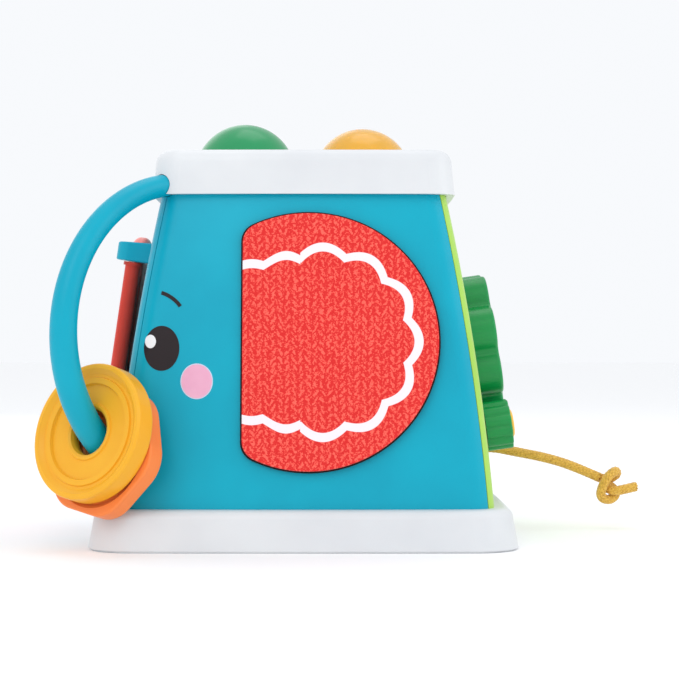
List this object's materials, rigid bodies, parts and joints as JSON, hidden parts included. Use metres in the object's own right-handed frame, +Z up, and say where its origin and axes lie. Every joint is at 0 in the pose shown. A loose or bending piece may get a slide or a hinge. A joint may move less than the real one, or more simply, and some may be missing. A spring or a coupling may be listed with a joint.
{
  "type": "baby activity cube",
  "caption": "Truncated pyramid baby activity cube with a fabric ear flap, a hinged page, meshing gears, sliding rings on a curved tube, domed buttons and a knotted tail cord.",
  "frame": {"origin": "centre of the base underside, on the surface that the cube stands on", "axes": "+Z up, -Y out of the side with the fabric ear, +X out of the side with the gears, the curved tube runs down the corner between -X and -Y"},
  "size_m": [0.2888, 0.2154, 0.201],
  "materials": {
    "white_abs": "satin moulded ABS",
    "teal_abs": "satin moulded ABS",
    "lime_abs": "satin moulded ABS",
    "gear_green": "moulded ABS",
    "hub_yellow": "moulded ABS",
    "green_dome": "polished ABS",
    "yellow_dome": "translucent polycarbonate",
    "diffuser": "frosted polycarbonate",
    "ring_yellow": "moulded ABS",
    "ring_orange": "moulded ABS",
    "knit_felt": "printed knitted fabric on felt",
    "coral_abs": "moulded ABS",
    "rod_red": "moulded ABS",
    "grey_plastic": "moulded acetal",
    "steel": "zinc plated steel",
    "board": "glass-fibre board with solder mask",
    "cone_paper": "pressed paper",
    "cell_wrap": "plastic sleeve",
    "cord_yellow": "braided polyester cord"
  },
  "bodies": {
    "root": {"base_shell": "white_abs", "battery_box": "grey_plastic", "battery_cells": "cell_wrap", "battery_contacts": "steel", "battery_door": "white_abs", "board_screws": "steel", "board_standoffs": "white_abs", "bracket_screws": "steel", "carrier_screws": "steel", "case_screws": "steel", "circuit_board": "board", "door_screw": "steel", "far_panel": "teal_abs", "flap_clamp": "grey_plastic", "flap_screws": "steel", "flap_tab": "knit_felt", "front_panel": "teal_abs", "gear_carrier": "grey_plastic", "gear_panel": "lime_abs", "green_spring": "steel", "lamps": "diffuser", "left_panel": "teal_abs", "lower_bracket": "teal_abs", "page_pin": "steel", "slide_switch": "grey_plastic", "speaker_cone": "cone_paper", "speaker_magnet": "steel", "speaker_ring": "grey_plastic", "tact_switches": "grey_plastic", "tail_anchor": "grey_plastic", "tail_cord": "cord_yellow", "tail_end": "cord_yellow", "tail_grommet": "grey_plastic", "tail_knot": "cord_yellow", "tie_posts": "white_abs", "top_cap": "white_abs", "trunk_screws": "steel", "trunk_socket": "teal_abs", "trunk_tube": "teal_abs", "upper_bracket": "teal_abs", "yellow_spring": "steel"},
    "yellow": {"yellow_ring": "ring_yellow"},
    "orange": {"orange_ring": "ring_orange"},
    "ear_flap": {"ear_flap": "knit_felt"},
    "ear_page": {"ear_page": "coral_abs", "page_barrel": "rod_red"},
    "flower": {"flower_gear": "gear_green", "flower_axle": "grey_plastic", "flower_cap": "hub_yellow", "flower_drive": "grey_plastic"},
    "pinion": {"pinion_gear": "gear_green", "pinion_axle": "grey_plastic", "pinion_cap": "hub_yellow", "pinion_drive": "grey_plastic"},
    "green_button": {"green_button": "green_dome"},
    "yellow_button": {"yellow_button": "yellow_dome", "light_guide": "diffuser"},
    "power_knob": {"power_knob": "grey_plastic"}
  },
  "joints": [
    {"name": "flap_hinge", "type": "hinge", "parent": "root", "child": "ear_flap", "pos_m": [-0.0276, -0.08113, 0.0942], "axis": [0, -0.1476, -0.989], "range_deg": [0, 120]},
    {"name": "page_hinge", "type": "hinge", "parent": "root", "child": "ear_page", "pos_m": [-0.08776, -0.03, 0.09113], "axis": [0.1443, 0, 0.9895], "range_deg": [0, 110]},
    {"name": "orange_slide", "type": "hinge", "parent": "root", "child": "orange", "pos_m": [-0.0565, -0.0565, 0.0978], "axis": [-0.7071, 0.7071, 0], "range_deg": [0, 50]},
    {"name": "yellow_slide", "type": "hinge", "parent": "orange", "child": "yellow", "pos_m": [-0.0565, -0.0565, 0.0978], "axis": [-0.7071, 0.7071, 0], "range_deg": [0, 40]},
    {"name": "flower_spin", "type": "hinge", "parent": "root", "child": "flower", "pos_m": [0.08033, 0.012, 0.09], "axis": [0.9895, 0, 0.1443], "continuous": true},
    {"name": "pinion_spin", "type": "hinge", "parent": "root", "child": "pinion", "pos_m": [0.08577, -0.02235, 0.05269], "axis": [0.9895, 0, 0.1443], "continuous": true},
    {"name": "green_press", "type": "slide", "parent": "root", "child": "green_button", "axis": [0, 0, -1], "range_m": [0, 0.003], "stiffness_N_per_m": 400, "springref_m": -0.003, "deforming": ["green_spring"]},
    {"name": "yellow_press", "type": "slide", "parent": "root", "child": "yellow_button", "axis": [0, 0, -1], "range_m": [0, 0.003], "stiffness_N_per_m": 400, "springref_m": -0.003, "deforming": ["yellow_spring"]},
    {"name": "power_slide", "type": "slide", "parent": "root", "child": "power_knob", "axis": [1, 0, 0], "range_m": [-0.003, 0.003]}
  ],
  "couplings": [
    {"joint": "pinion_spin", "follows": "flower_spin", "ratio": -2.4}
  ]
}
